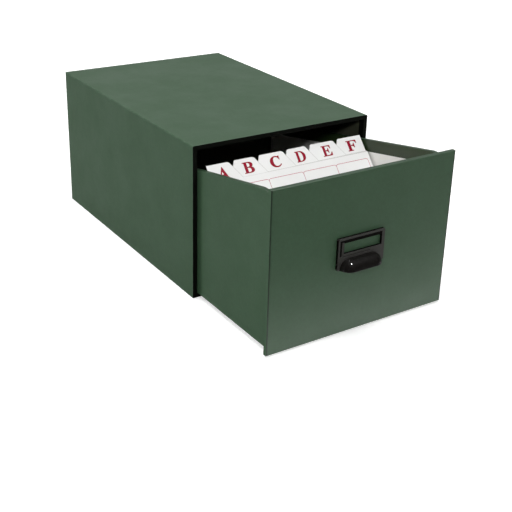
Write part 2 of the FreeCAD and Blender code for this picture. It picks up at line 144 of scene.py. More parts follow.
effectLook = {
    "weave": 900.0, "warpStretch": (1.0, 1.0, 0.06), "weftStretch": (0.06, 1.0, 1.0),
    "fineShare": 0.6, "pebbleShare": 0.5, "shadeRange": (0.4, 1.1), "patchRange": (0.34, 0.66),
    "rubRange": (0.42, 0.68), "fibreStretch": (0.35, 1.0, 0.6), "crossStretch": (1.0, 0.4, 1.3),
    "crossShare": 0.7, "fleckRange": (0.62, 0.74), "cloudRange": (0.35, 0.65),
    "speckRange": (0.5, 0.78), "sideDust": 0.25,
}


def makeClothGrain():  # fine pressed grain of book cloth, with blotches in the dye
    look = effectLook
    group, given, out = newGroup(
        "clothGrain",
        [("Place", "Vector", None), ("Grain", "Float", 1500.0), ("Blotch", "Float", 38.0),
         ("Threads", "Float", 0.12)],
        [("Height", "Float"), ("Shade", "Float"), ("Patch", "Float")])
    spot = given["Place"]
    fine = noise(group, spot, given["Grain"], 3.0, 0.6)
    pebble = addNode(group, "TexVoronoi", {"Vector": spot, "Scale": given["Grain"]},
                     feature="SMOOTH_F1").outputs["Distance"]
    warp = noise(group, spot, look["weave"], 1.0, 0.5, look["warpStretch"])
    weft = noise(group, spot, look["weave"], 1.0, 0.5, look["weftStretch"])
    threads = calc(group, "MULTIPLY", calc(group, "ADD", warp, weft), given["Threads"])
    grain = calc(group, "ADD", calc(group, "MULTIPLY", fine, look["fineShare"]),
                 calc(group, "MULTIPLY", pebble, look["pebbleShare"]))
    blotch = noise(group, spot, given["Blotch"], 4.0, 0.62)
    feed(group, out["Height"], calc(group, "ADD", grain, threads))
    feed(group, out["Shade"], ramp(group, calc(group, "ADD", fine, threads), *look["shadeRange"]))
    feed(group, out["Patch"], ramp(group, blotch, *look["patchRange"]))
    return group


def makeEdgeWear():  # marks where two or three faces of a box meet, rubbed unevenly
    group, given, out = newGroup(
        "edgeWear",
        [("Place", "Vector", None), ("Centre", "Vector", None), ("Half", "Vector", None),
         ("Width", "Float", 0.0012), ("Rub", "Float", 260.0)],
        [("Mask", "Float")])
    offset = addNode(group, "VectorMath", {0: given["Place"], 1: given["Centre"]},
                     operation="SUBTRACT").outputs[0]
    outward = addNode(group, "VectorMath", {0: offset}, operation="ABSOLUTE").outputs[0]
    inset = addNode(group, "VectorMath", {0: given["Half"], 1: outward},
                    operation="SUBTRACT").outputs[0]
    parts = addNode(group, "SeparateXYZ", {0: inset}).outputs
    near = [calc(group, "SUBTRACT", 1.0, calc(group, "DIVIDE", part, given["Width"]), clamp=True)
            for part in parts]
    pairs = [calc(group, "MULTIPLY", near[i], near[(i + 1) % 3]) for i in range(3)]
    line = calc(group, "ADD", calc(group, "ADD", pairs[0], pairs[1]), pairs[2], clamp=True)
    rub = ramp(group, noise(group, given["Place"], given["Rub"], 3.0, 0.6),
               *effectLook["rubRange"])
    feed(group, out["Mask"], calc(group, "MULTIPLY", line, rub, clamp=True))
    return group


def makePaperFibre():  # short fibres and flecks of paper and board
    look = effectLook
    group, given, out = newGroup(
        "paperFibre",
        [("Place", "Vector", None), ("Fibre", "Float", 900.0), ("Cloud", "Float", 55.0)],
        [("Height", "Float"), ("Fleck", "Float"), ("Cloud", "Float")])
    spot = given["Place"]
    long = noise(group, spot, given["Fibre"], 4.0, 0.65, look["fibreStretch"])
    across = noise(group, spot, given["Fibre"], 4.0, 0.65, look["crossStretch"])
    cloud = noise(group, spot, given["Cloud"], 3.0, 0.55)
    feed(group, out["Height"],
         calc(group, "ADD", long, calc(group, "MULTIPLY", across, look["crossShare"])))
    feed(group, out["Fleck"], ramp(group, across, *look["fleckRange"]))
    feed(group, out["Cloud"], ramp(group, cloud, *look["cloudRange"]))
    return group


def makeDust():  # settled dust, more of it on what faces up
    look = effectLook
    group, given, out = newGroup(
        "dust", [("Place", "Vector", None), ("Facing", "Vector", None), ("Size", "Float", 420.0)],
        [("Mask", "Float")])
    specks = ramp(group, noise(group, given["Place"], given["Size"], 5.0, 0.7),
                  *look["speckRange"])
    settled = ramp(group, axis(group, given["Facing"], "Z"), 0.0, 1.0, look["sideDust"], 1.0)
    feed(group, out["Mask"], calc(group, "MULTIPLY", settled, specks))
    return group


clothGrain, edgeWear = makeClothGrain(), makeEdgeWear()
paperFibre, dust = makePaperFibre(), makeDust()
print("shared effects made")


# finishes

clothLook = {
    "dye": (56, 83, 60), "deepDye": (53, 80, 56), "grainDye": (46, 64, 46), "grainShare": 0.15,
    "mottleDye": (50, 73, 52), "mottle": 520.0, "mottleRange": (0.36, 0.64), "mottleShare": 0.5,
    "rubbed": (88, 106, 90), "wear": 0.55, "panelWear": 0.1, "wearWidth": 0.0014,
    # the seam tone and widths paint shade down the panel's sides; the same tone darkens the top
    # fold
    "edgeShadeAndFoldDye": (26, 44, 28), "seam": 0.0009, "edgeShadeSoft": (0.7, 1.3), "frontTurn": (-0.6, -0.4),
    "foldDark": 0.45, "foldTurn": (0.4, 0.8),
    # the inside tone is painted shade on the cloth within the drawer walls
    "insideShadeTone": (38, 53, 28), "insideEdge": (0.0591, 0.0593),
    "roughness": 0.42, "smoother": 0.04, "rougher": 0.05, "gloss": 0.5,
    "grain": 1300.0, "blotch": 34.0, "bump": 0.00007, "bumpStrength": 0.6,
}


def paintedInsideShade(tree, spot, colour):  # painted shade: the cloth on the inside of the drawer walls is darkened, as shade falls there
    across = calc(tree, "ABSOLUTE", axis(tree, spot, "X"))
    within = ramp(tree, across, *clothLook["insideEdge"], 1.0, 0.0)
    return mixColour(tree, within, colour, tone(*clothLook["insideShadeTone"]))


def foldDark(tree, colour):  # the top fold, darkened by hands
    up = axis(tree, surfaceNormal(tree), "Z")
    turned = ramp(tree, up, *clothLook["foldTurn"], 0.0, clothLook["foldDark"])
    return mixColour(tree, turned, colour, tone(*clothLook["edgeShadeAndFoldDye"]))


def paintedEdgeShade(tree, spot, colour, edge):  # painted shade: a dark line down both sides of the panel's front, where its edges fall into shade
    start, end = (clothLook["seam"] * share for share in clothLook["edgeShadeSoft"])
    inward = calc(tree, "SUBTRACT", edge, calc(tree, "ABSOLUTE", axis(tree, spot, "X")))
    front = ramp(tree, axis(tree, surfaceNormal(tree), "Y"), *clothLook["frontTurn"], 1.0, 0.0)
    line = calc(tree, "MULTIPLY", ramp(tree, inward, start, end, 1.0, 0.0), front)
    return mixColour(tree, line, colour, tone(*clothLook["edgeShadeAndFoldDye"]))


def clothFinish(name):  # green book cloth for the cover of that name
    look = clothLook
    onPanel, onDrawer = name == "front_panel_cover", name == "drawer_wrap_cover"
    low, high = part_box(name)
    material, tree, shader = newMaterial(name + "Cloth", look["roughness"], look["gloss"])
    spot = objectPlace(tree)
    grain = place(tree, clothGrain, Place=spot, Grain=look["grain"], Blotch=look["blotch"])
    mottle = ramp(tree, noise(tree, spot, look["mottle"], 3.0, 0.6), *look["mottleRange"])
    worn = place(tree, edgeWear, Place=spot, Centre=(low + high) / 2, Half=(high - low) / 2,
                 Width=look["wearWidth"])["Mask"]
    colour = mixColour(tree, grain["Patch"], tone(*look["dye"]), tone(*look["deepDye"]))
    for mask, share, dye in ((grain["Shade"], look["grainShare"], look["grainDye"]),
                             (mottle, look["mottleShare"], look["mottleDye"]),
                             (worn, look["panelWear" if onPanel else "wear"], look["rubbed"])):
        colour = mixColour(tree, calc(tree, "MULTIPLY", mask, share), colour, tone(*dye))
    if onDrawer:
        # painted shade inside the drawer walls
        colour = paintedInsideShade(tree, spot, colour)
    if onPanel or onDrawer:
        colour = foldDark(tree, colour)
    if onPanel:
        # painted shade down both sides of the panel's front
        colour = paintedEdgeShade(tree, spot, colour, high.x)
    feed(tree, shader["Base Color"], colour)
    feed(tree, shader["Roughness"],
         ramp(tree, grain["Patch"], 0.0, 1.0, look["roughness"] - look["smoother"],
              look["roughness"] + look["rougher"]))
    feed(tree, shader["Normal"],
         bumpFrom(tree, grain["Height"], look["bump"], look["bumpStrength"]))
    return material


paperLook = {"fleckDark": 0.72, "smoother": 0.05, "rougher": 0.05, "bumpStrength": 0.5}


def paperFinish(name, chart, shade, roughness, fleck, bump, gloss=0.3):
    look = paperLook
    material, tree, shader = newMaterial(name, roughness, gloss)
    fibre = place(tree, paperFibre, Place=objectPlace(tree))
    colour = mixColour(tree, fibre["Cloud"], tone(*chart), tone(*shade))
    colour = mixColour(tree, calc(tree, "MULTIPLY", fibre["Fleck"], fleck), colour,
                       tone(*[value * look["fleckDark"] for value in chart]))
    feed(tree, shader["Base Color"], colour)
    feed(tree, shader["Roughness"],
         ramp(tree, fibre["Cloud"], 0.0, 1.0, roughness - look["smoother"],
              roughness + look["rougher"]))
    feed(tree, shader["Normal"], bumpFrom(tree, fibre["Height"], bump, look["bumpStrength"]))
    return material


enamelLook = {"coatRoughness": 0.08, "dustTone": (150, 150, 140), "dusty": 0.06,
              "ripple": 700.0, "rippleHeight": 0.00002, "rippleStrength": 0.5,
              "cloud": 160.0, "cloudRange": (0.3, 0.7), "smoother": 0.04, "rougher": 0.06}


def enamelFinish(name, chart, roughness, gloss=0.5, coat=0.0, dusty=enamelLook["dusty"],
                 height=enamelLook["rippleHeight"]):
    look = enamelLook
    material, tree, shader = newMaterial(name, roughness, gloss)
    shader["Coat Weight"].default_value = coat
    shader["Coat Roughness"].default_value = look["coatRoughness"]
    spot = objectPlace(tree)
    ripple = noise(tree, spot, look["ripple"], 2.0, 0.5)
    cloud = noise(tree, spot, look["cloud"], 3.0)
    settled = place(tree, dust, Place=spot, Facing=surfaceNormal(tree))["Mask"]
    feed(tree, shader["Base Color"],
         mixColour(tree, calc(tree, "MULTIPLY", settled, dusty), tone(*chart),
                   tone(*look["dustTone"])))
    feed(tree, shader["Roughness"],
         ramp(tree, cloud, *look["cloudRange"], roughness - look["smoother"],
              roughness + look["rougher"]))
    feed(tree, shader["Normal"], bumpFrom(tree, ripple, height, look["rippleStrength"]))
    return material


# name, main tone, cloudy tone, roughness, flecks, bump, gloss
boardFinish = paperFinish("greyBoard", (148, 142, 131), (134, 128, 117), 0.85, 0.35, 0.00012)
blackPaper = paperFinish("blackPaper", (66, 68, 55), (61, 63, 51), 0.85, 0.3, 0.00006, 0.05)
# the drawer's back lining, white paper in the part file, is toned dark: painted shade deep inside
# the case
backLiningShade = paperFinish("backLiningShade", (50, 52, 42), (46, 48, 39), 0.85, 0.3, 0.00006, 0.05)
rimPaper = paperFinish("rimPaper", (12, 14, 10), (10, 12, 9), 0.85, 0.3, 0.00006, 0.04)
whitePaper = paperFinish("whitePaper", (239, 238, 235), (235, 234, 230), 0.7, 0.1, 0.00003)
cardFinish = paperFinish("indexCard", (226, 226, 225), (223, 223, 222), 0.6, 0.05, 0.00002)
plateFinish = enamelFinish("matBlackEnamel", (47, 46, 43), 0.5, gloss=0.4)
# painted shade: a dead black for the slot floors and the sheet behind the label plate, where shade
# falls
shadeLinerFinish = enamelFinish("paintedShadeBlack", (12, 11, 9), 0.9, gloss=0.05, dusty=0.01)
pullFinish = enamelFinish("glossBlackEnamel", (20, 18, 17), 0.45, gloss=0.03, coat=0.35,
                          dusty=0.02, height=0.00004)
steelFinish = enamelFinish("greyEnamel", (92, 95, 92), 0.38)

slotFinish = {"grey_board": boardFinish, "black_paper": blackPaper, "white_paper": whitePaper,
              "black_enamel": plateFinish, "black_gloss": pullFinish,
              "grey_steel": steelFinish, "index_card": cardFinish}
clothNodes = ["case_base_cover", "case_back_cover", "case_wrap_cover", "drawer_base_cover",
              "drawer_wrap_cover", "front_panel_cover"]


def finishNode(name, material):
    for slot in nodes[name].material_slots:
        slot.material = material


for name, node in nodes.items():
    slotName = node.material_slots[0].material.name.split(".")[0]
    if slotName in slotFinish:
        finishNode(name, slotFinish[slotName])
finishNode("case_rim_binding", rimPaper)
# painted shade: the back lining takes the dark tone
finishNode("drawer_back_lining", backLiningShade)
for name in clothNodes:
    finishNode(name, clothFinish(name))
print("finishes placed on", len(nodes), "nodes")


# mesh helpers

weldReach = 1e-7  # metres


def pieceFrom(name, mesh, body, slot, *materials):
    piece = bpy.data.objects.new(name, mesh)
    scene.collection.objects.link(piece)
    mesh.materials.clear()
    for material in materials:
        mesh.materials.append(material)
    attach(piece, body)
    return piece


def trace(steps, curveSteps=7):  # corners, and cubic bends given as two handles and an end
    line = []
    for step in steps:
        if len(step) == 2:
            line.append(Vector(step))
            continue
        start, first, second, end = line[-1], Vector(step[:2]), Vector(step[2:4]), Vector(step[4:])
        for count in range(1, curveSteps + 1):
            t = count / curveSteps
            line.append(start * (1 - t) ** 3 + first * 3 * t * (1 - t) ** 2
                        + second * 3 * t * t * (1 - t) + end * t ** 3)
    return line


def roundedCorners(corners, radius, steps=5):
    line = []
    count = len(corners)
    for index, corner in enumerate(corners):
        here = Vector(corner)
        before = (Vector(corners[index - 1]) - here).normalized()
        after = (Vector(corners[(index + 1) % count]) - here).normalized()
        start, end = here + before * radius, here + after * radius
        for step in range(steps + 1):
            t = step / steps
            line.append(start * (1 - t) ** 2 + here * 2 * t * (1 - t) + end * t * t)
    return line


def flatShape(outlines, thickness, soften=0.0, softSteps=1, swell=0.0):  # about its mid plane
    curve = bpy.data.curves.new("outline", "CURVE")
    curve.dimensions, curve.fill_mode = "2D", "BOTH"
    curve.extrude = thickness / 2 - soften
    curve.bevel_depth, curve.offset, curve.bevel_resolution = soften, swell - soften, softSteps
    for outline in outlines:
        spline = curve.splines.new("POLY")
        spline.points.add(len(outline) - 1)
        for point, spot in zip(spline.points, outline):
            point.co = (spot[0], spot[1], 0, 1)
        spline.use_cyclic_u = True
    holder = bpy.data.objects.new("outline", curve)
    scene.collection.objects.link(holder)
    bpy.context.view_layer.update()
    mesh = bpy.data.meshes.new_from_object(
        holder.evaluated_get(bpy.context.evaluated_depsgraph_get()))
    bpy.data.objects.remove(holder)
    bpy.data.curves.remove(curve)
    tidyMesh(mesh)
    return mesh


def tidyMesh(mesh, smooth=False, weld=weldReach):
    work = bmesh.new()
    work.from_mesh(mesh)
    bmesh.ops.remove_doubles(work, verts=work.verts, dist=weld)
    bmesh.ops.dissolve_degenerate(work, edges=work.edges, dist=weld)
    bmesh.ops.recalc_face_normals(work, faces=work.faces)
    for face in work.faces:
        face.smooth = smooth
    work.to_mesh(mesh)
    work.free()


def joinMeshes(name, meshes):
    work = bmesh.new()
    for mesh in meshes:
        work.from_mesh(mesh)
    joined = bpy.data.meshes.new(name)
    work.to_mesh(joined)
    work.free()
    return joined


def behindPart(node, depth):  # what a CAD node has behind a depth, with the cut closed
    work = bmesh.new()
    work.from_mesh(nodes[node].data)
    bmesh.ops.remove_doubles(work, verts=work.verts, dist=weldReach)
    cut = bmesh.ops.bisect_plane(
        work, geom=work.verts[:] + work.edges[:] + work.faces[:],
        plane_co=(0, depth, 0), plane_no=(0, -1, 0), clear_outer=True)
    edges = [item for item in cut["geom_cut"] if isinstance(item, bmesh.types.BMEdge)]
    bmesh.ops.holes_fill(work, edges=edges)
    bmesh.ops.recalc_face_normals(work, faces=work.faces)
    mesh = bpy.data.meshes.new(node + "Rear")
    work.to_mesh(mesh)
    work.free()
    return mesh


# index letters and printed boxes on the dividers

cardLook = {
    "lean": 40.0, "thickness": 0.25, "ink": 0.02, "inkSunk": 0.25,
    "baseline": 97.0, "capHeight": 6.8, "bold": 0.18,
    "width": 116.2, "height": 106.456, "body": 95.456, "flare": 6.4,
    "tabStarts": (0.0, 0.167, 0.323, 0.501, 0.656, 0.843),
    "tabEnds": (0.131, 0.285, 0.466, 0.617, 0.806, 1.0),
    # the grey of the lines along the tab edges is painted shade between the cards
    "edgeWidth": 0.24, "shoulderWidth": 0.12, "edgeSkip": 1.6, "gapShadeGrey": (188, 187, 184),
    "red": (144, 12, 38), "lineRed": (178, 56, 80),
    "lineWidth": 0.26, "boxRight": 114.1, "boxTop": 91.0, "boxWide": 25.4, "boxHigh": 12.0,
    "boxCorner": 1.5, "cornerSteps": 5, "columns": 4, "rows": 7, "firstLeft": 2.3,
}
# letters as wide and high as 1, from corners and bends; an outline inside another is a hole
footSerif = [(0, 0), (0, 0.03), (0.10, 0.04, 0.11, 0.06, 0.11, 0.15), (0.11, 0.85),
             (0.11, 0.94, 0.10, 0.96, 0, 0.97), (0, 1)]
letterShapes = {
    "A": [[(0, 0), (0.315, 0), (0.315, 0.03), (0.24, 0.035, 0.2, 0.06, 0.215, 0.11),
           (0.268, 0.262), (0.6, 0.262), (0.662, 0.115), (0.685, 0.06, 0.66, 0.035, 0.585, 0.03),
           (0.585, 0), (1, 0), (1, 0.03), (0.945, 0.035, 0.925, 0.06, 0.9, 0.12),
           (0.54, 1.02), (0.505, 1.02), (0.128, 0.145), (0.09, 0.06, 0.06, 0.035, 0, 0.03)],
          [(0.292, 0.32), (0.575, 0.32), (0.435, 0.68)]],
    "B": [footSerif + [(0.47, 1), (0.7, 1, 0.83, 0.9, 0.83, 0.75),
                       (0.83, 0.62, 0.74, 0.54, 0.6, 0.52), (0.79, 0.49, 0.89, 0.41, 0.89, 0.27),
                       (0.89, 0.1, 0.74, 0, 0.5, 0)],
          [(0.32, 0.54), (0.32, 0.9), (0.32, 0.945, 0.335, 0.955, 0.39, 0.955),
           (0.52, 0.955, 0.59, 0.88, 0.59, 0.745), (0.59, 0.6, 0.52, 0.54, 0.38, 0.54)],
          [(0.32, 0.49), (0.4, 0.49), (0.56, 0.485, 0.64, 0.4, 0.64, 0.265),
           (0.64, 0.12, 0.56, 0.045, 0.42, 0.045), (0.345, 0.045, 0.32, 0.06, 0.32, 0.115)]],
    "C": [[(0.86, 0.67), (0.83, 0.67), (0.79, 0.86, 0.68, 0.955, 0.54, 0.955),
           (0.36, 0.955, 0.27, 0.8, 0.27, 0.51), (0.27, 0.22, 0.37, 0.06, 0.57, 0.06),
           (0.7, 0.06, 0.79, 0.11, 0.88, 0.22), (0.91, 0.19),
           (0.81, 0.05, 0.69, -0.02, 0.52, -0.02),
           (0.22, -0.02, 0, 0.19, 0, 0.49), (0, 0.8, 0.22, 1.02, 0.52, 1.02),
           (0.61, 1.02, 0.68, 1, 0.74, 0.975), (0.78, 0.955, 0.8, 0.955, 0.83, 1.02),
           (0.86, 1.02)]],
    "D": [footSerif + [(0.44, 1), (0.78, 1, 1, 0.81, 1, 0.5), (1, 0.19, 0.79, 0, 0.44, 0)],
          [(0.32, 0.115), (0.32, 0.9), (0.32, 0.945, 0.335, 0.955, 0.39, 0.955),
           (0.62, 0.955, 0.745, 0.8, 0.745, 0.505), (0.745, 0.2, 0.64, 0.045, 0.42, 0.045),
           (0.345, 0.045, 0.32, 0.06, 0.32, 0.115)]],
    "E": [footSerif + [(0.86, 1), (0.86, 0.7), (0.825, 0.7), (0.8, 0.89, 0.73, 0.95, 0.55, 0.95),
                       (0.39, 0.95), (0.335, 0.95, 0.32, 0.94, 0.32, 0.9), (0.32, 0.535),
                       (0.36, 0.535), (0.52, 0.535, 0.58, 0.59, 0.6, 0.72), (0.635, 0.72),
                       (0.635, 0.3), (0.6, 0.3), (0.58, 0.44, 0.52, 0.485, 0.36, 0.485),
                       (0.32, 0.485), (0.32, 0.12), (0.32, 0.06, 0.34, 0.05, 0.41, 0.05),
                       (0.5, 0.05), (0.72, 0.05, 0.83, 0.13, 0.885, 0.31),
                       (0.925, 0.31), (0.9, 0)]],
    "F": [footSerif + [(0.84, 1), (0.84, 0.7), (0.805, 0.7), (0.77, 0.89, 0.7, 0.95, 0.53, 0.95),
                       (0.39, 0.95), (0.335, 0.95, 0.32, 0.94, 0.32, 0.9), (0.32, 0.53),
                       (0.36, 0.53), (0.51, 0.53, 0.56, 0.59, 0.58, 0.72), (0.615, 0.72),
                       (0.615, 0.3), (0.58, 0.3), (0.56, 0.43, 0.51, 0.48, 0.36, 0.48),
                       (0.32, 0.48), (0.32, 0.15), (0.32, 0.06, 0.34, 0.04, 0.45, 0.03),
                       (0.45, 0)]],
}
letterSpans = {  # left and right ends along the card, in mm
    "A": (6.0, 12.7), "B": (23.9, 31.1), "C": (43.4, 50.8),
    "D": (62.8, 69.8), "E": (83.4, 90.4), "F": (103.4, 111.2),
}
inkLook = {"roughness": 0.6, "gloss": 0.05, "fibre": 1400.0, "fleck": 0.12, "fleckPale": (0.7, 60),
           "roughRange": (0.42, 0.55), "bump": 0.00001, "bumpStrength": 0.4}


def cardFrame(divider):  # from a card's own across and up, in mm, to its place at rest
    low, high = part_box(divider)
    lean, half = radians(cardLook["lean"]), cardLook["thickness"] * mm / 2
    foot = Vector((low.x, low.y + half * cos(lean), low.z + half * sin(lean)))
    up, out = Vector((0, sin(lean), cos(lean))), Vector((0, -cos(lean), sin(lean)))
    foot += out * (half + cardLook["ink"] * mm * (0.5 - cardLook["inkSunk"]))
    axes = Matrix((Vector((1, 0, 0)), up, out)).transposed().to_4x4()
    return Matrix.Translation(foot) @ axes @ Matrix.Scale(mm, 4)


def inkFinish(name, chart):
    look = inkLook
    share, lift = look["fleckPale"]
    material, tree, shader = newMaterial(name, look["roughness"], look["gloss"])
    fibre = place(tree, paperFibre, Place=objectPlace(tree), Fibre=look["fibre"])
    colour = mixColour(tree, calc(tree, "MULTIPLY", fibre["Fleck"], look["fleck"]), tone(*chart),
                       tone(*[value * share + lift for value in chart]))
    feed(tree, shader["Base Color"], colour)
    feed(tree, shader["Roughness"], ramp(tree, fibre["Cloud"], 0.0, 1.0, *look["roughRange"]))
    feed(tree, shader["Normal"],
         bumpFrom(tree, fibre["Height"], look["bump"], look["bumpStrength"]))
    return material


letterInk = inkFinish("crimsonInk", cardLook["red"])
lineInk = inkFinish("lineInk", cardLook["lineRed"])
# painted shade of the gaps between the cards
gapShadeGrey = inkFinish("paintedGapShade", cardLook["gapShadeGrey"])


def makeLetters():
    for letter, shape in letterShapes.items():
        outlines = [trace(steps) for steps in shape]
        wide = max(spot.x for spot in outlines[0])
        left, right = letterSpans[letter]
        stretch = Vector(((right - left) / wide, cardLook["capHeight"]))
        outlines = [[(left + spot.x * stretch.x, cardLook["baseline"] + spot.y * stretch.y)
                     for spot in line] for line in outlines]
        divider = "divider_" + letter.lower()
        mesh = flatShape(outlines, cardLook["ink"], swell=cardLook["bold"])
        mesh.transform(cardFrame(divider))
        pieceFrom("letter_" + letter.lower(), mesh, divider, "index_card", letterInk)


def boxTree():  # rows and columns of thin rounded frames
    look = cardLook
    tree = bpy.data.node_groups.new("printedBoxes", "GeometryNodeTree")
    sockets = {}
    for label, kind, value in (("Columns", "Int", look["columns"]), ("Rows", "Int", look["rows"]),
                               ("Wide", "Float", look["boxWide"]),
                               ("High", "Float", look["boxHigh"]),
                               ("Corner", "Float", look["boxCorner"]),
                               ("Line", "Float", look["lineWidth"]),
                               ("Ink", "Float", look["ink"]), ("Finish", "Material", lineInk)):
        socket = tree.interface.new_socket(label, in_out="INPUT", socket_type="NodeSocket" + kind)
        socket.default_value = value
        sockets[label] = socket.identifier, value
    tree.interface.new_socket("Geometry", in_out="OUTPUT", socket_type="NodeSocketGeometry")
    given = tree.nodes.new("NodeGroupInput").outputs

    def step(kind, inputs, **settings):
        node = tree.nodes.new(kind)
        for key, value in settings.items():
            setattr(node, key, value)
        for key, value in inputs.items():
            feed(tree, node.inputs[key], value)
        return node.outputs

    def mathStep(first, operation, second):
        return step("ShaderNodeMath", {0: first, 1: second}, operation=operation)[0]

    frameLine = step("GeometryNodeCurvePrimitiveQuadrilateral",
                     {"Width": given["Wide"], "Height": given["High"]})["Curve"]
    frameLine = step("GeometryNodeFilletCurve", {"Curve": frameLine, "Radius": given["Corner"],
                                                 "Count": look["cornerSteps"]},
                     mode="POLY")["Curve"]
    section = step("GeometryNodeCurvePrimitiveQuadrilateral",
                   {"Width": given["Line"], "Height": given["Ink"]})["Curve"]
    strip = step("GeometryNodeCurveToMesh", {"Curve": frameLine, "Profile Curve": section})["Mesh"]
    spanX, spanY = (
        mathStep(mathStep(given[count], "SUBTRACT", 1.0), "MULTIPLY", given[size])
        for count, size in (("Columns", "Wide"), ("Rows", "High")))
    grid = step("GeometryNodeMeshGrid", {"Size X": spanX, "Size Y": spanY,
                                         "Vertices X": given["Columns"],
                                         "Vertices Y": given["Rows"]})["Mesh"]
    spots = step("GeometryNodeInstanceOnPoints", {"Points": grid, "Instance": strip})["Instances"]
    real = step("GeometryNodeRealizeInstances", {"Geometry": spots})["Geometry"]
    dressed = step("GeometryNodeSetMaterial", {"Geometry": real, "Material": given["Finish"]})
    feed(tree, tree.nodes.new("NodeGroupOutput").inputs[0], dressed["Geometry"])
    return tree, sockets


def makePrintedBoxes():
    tree, sockets = boxTree()
    look = cardLook
    top, right = look["boxTop"], look["boxRight"]
    left = right - look["columns"] * look["boxWide"]
    fields = [(look["columns"], look["boxWide"], (left + right) / 2),
              (1, left - look["firstLeft"], (left + look["firstLeft"]) / 2)]
    meshes = []
    for columns, wide, middle in fields:
        holder = bpy.data.objects.new("boxField", bpy.data.meshes.new("boxField"))
        scene.collection.objects.link(holder)
        modifier = holder.modifiers.new("boxes", "NODES")
        modifier.node_group = tree
        for label, (identifier, value) in sockets.items():
            modifier[identifier] = {"Columns": columns, "Wide": wide}.get(label, value)
        bpy.context.view_layer.update()
        mesh = bpy.data.meshes.new_from_object(
            holder.evaluated_get(bpy.context.evaluated_depsgraph_get()))
        holder.modifiers.remove(modifier)
        bpy.data.objects.remove(holder)
        high = top - look["rows"] * look["boxHigh"] / 2
        mesh.transform(Matrix.Translation((middle, high, 0)))
        meshes.append(mesh)
    mesh = joinMeshes("printedBoxes", meshes)
    mesh.transform(cardFrame("divider_a"))
    tidyMesh(mesh)
    pieceFrom("printed_boxes", mesh, "divider_a", "index_card", lineInk)


def makeGapShadeLines():  # painted shade: thin grey strips along the tabs' slants and shoulders, for the shade in the gaps between the cards
    look = cardLook
    wide, tall, body, flare = look["width"], look["height"], look["body"], look["flare"]
    slant = Vector((flare, body - tall)).normalized()
    inward = Vector((slant.y, -slant.x)) * look["edgeWidth"]
    low = body - look["shoulderWidth"]
    bend = (look["shoulderWidth"] + inward.y) / -slant.y
    for letter, start, end in zip(letterShapes, look["tabStarts"], look["tabEnds"]):
        meshes = []
        for side, reach, rim in ((1, end * wide, wide), (-1, start * wide, 0)):
            if reach == rim:
                continue
            top = Vector((0, tall)) + slant * look["edgeSkip"]
            foot = Vector((flare, body))
            line = [top, foot, Vector((side * (rim - reach), body)),
                    Vector((side * (rim - reach), low)),
                    foot + inward + slant * bend, top + inward]
            line = [(reach + side * spot.x, spot.y) for spot in line]
            meshes.append(flatShape([line], look["ink"]))
        divider = "divider_" + letter.lower()
        mesh = joinMeshes("edgeLines", meshes)
        mesh.transform(cardFrame(divider))
        tidyMesh(mesh)
        pieceFrom("edge_lines_" + letter.lower(), mesh, divider, "index_card", gapShadeGrey)


makeLetters()
makePrintedBoxes()
makeGapShadeLines()
print("letters, printed boxes and edge lines made")


# cup pull

pullLook = {"radius": 6.4, "wall": 0.9, "lip": 0.38, "straight": 16.2, "capSteps": 18,
            "arcSteps": 22, "lipSteps": 5, "poleWeld": 2e-6, "sharp": 50, "prongGap": 0.02}


def pullSection():  # outside arc, rolled mouth and inside arc, as reach and angle
    outer, wall, lip = pullLook["radius"], pullLook["wall"], pullLook["lip"]
    inner = outer - wall
    section = []
    lowOuter, lowInner = asin(lip / outer), asin(lip / inner)
    for step in range(pullLook["arcSteps"] + 1):
        share = step / pullLook["arcSteps"]
        section.append((outer, pi / 2 + (lowOuter - pi / 2) * share))
    for reach, turnIn in ((outer, -1), (inner, 1)):
        line = []
        for step in range(1, pullLook["lipSteps"] + 1):
            turn = pi / 2 * step / pullLook["lipSteps"]
            out = reach + turnIn * lip * (1 - cos(turn))
            line.append((out, asin(lip * (1 - sin(turn)) / out)))
        section += line if turnIn < 0 else line[::-1]
    for step in range(pullLook["arcSteps"] + 1):
        share = step / pullLook["arcSteps"]
        section.append((inner, lowInner + (pi / 2 - lowInner) * share))
    return section


def makePull():
    low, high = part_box("cup_pull")
    middle = (low.x + high.x) / 2
    axisY, axisZ = low.y + pullLook["radius"] * mm, low.z
    section = pullSection()
    stations = []
    for side in (-1, 1):
        line = [(side, pi / 2 * step / pullLook["capSteps"])
                for step in range(pullLook["capSteps"] + 1)]
        stations += line[::-1] if side < 0 else line
    work = bmesh.new()
    rings = []
    for side, turn in stations:
        ring = []
        for reach, angle in section:
            across = side * (pullLook["straight"] / 2 + reach * sin(turn))
            flat = reach * cos(turn)
            ring.append(work.verts.new((middle + across * mm, axisY - flat * cos(angle) * mm,
                                        axisZ + flat * sin(angle) * mm)))
        rings.append(ring)
    count = len(section)
    for ring, following in zip(rings, rings[1:]):
        for index in range(count):
            after = (index + 1) % count
            work.faces.new((ring[index], ring[after], following[after], following[index]))
    shell = bpy.data.meshes.new("cupShell")
    work.to_mesh(shell)
    work.free()
    tidyMesh(shell, smooth=True, weld=pullLook["poleWeld"])
    shell.set_sharp_from_angle(angle=radians(pullLook["sharp"]))
    prongs = behindPart("cup_pull", axisY + pullLook["prongGap"] * mm)
    mesh = joinMeshes("cupPull", [shell, prongs])
    piece = pieceFrom("cup_pull_shell", mesh, "drawer", "black_gloss", pullFinish)
    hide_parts("cup_pull")


makePull()
print("cup pull made")


# label holder

holderLook = {"front": 0.34, "back": 0.36, "corner": 0.8, "soften": 0.12, "frame": 1.2,
              "slot": 1.4, "strip": 1.5, "windowRight": 2.1, "windowBase": 9.8,
              "windowTop": 3.2, "slotFoot": 1.4, "groove": 0.42, "grooveDrop": 1.35,
              "grooveStart": 0.9, "grooveEnd": 8.2, "grooveCorner": 0.12, "openCorner": 0.25,
              "openSteps": 3, "softSteps": 2, "backing": 0.12, "backingOut": 0.12,
              "backingGap": 0.03, "lipGap": 0.01}


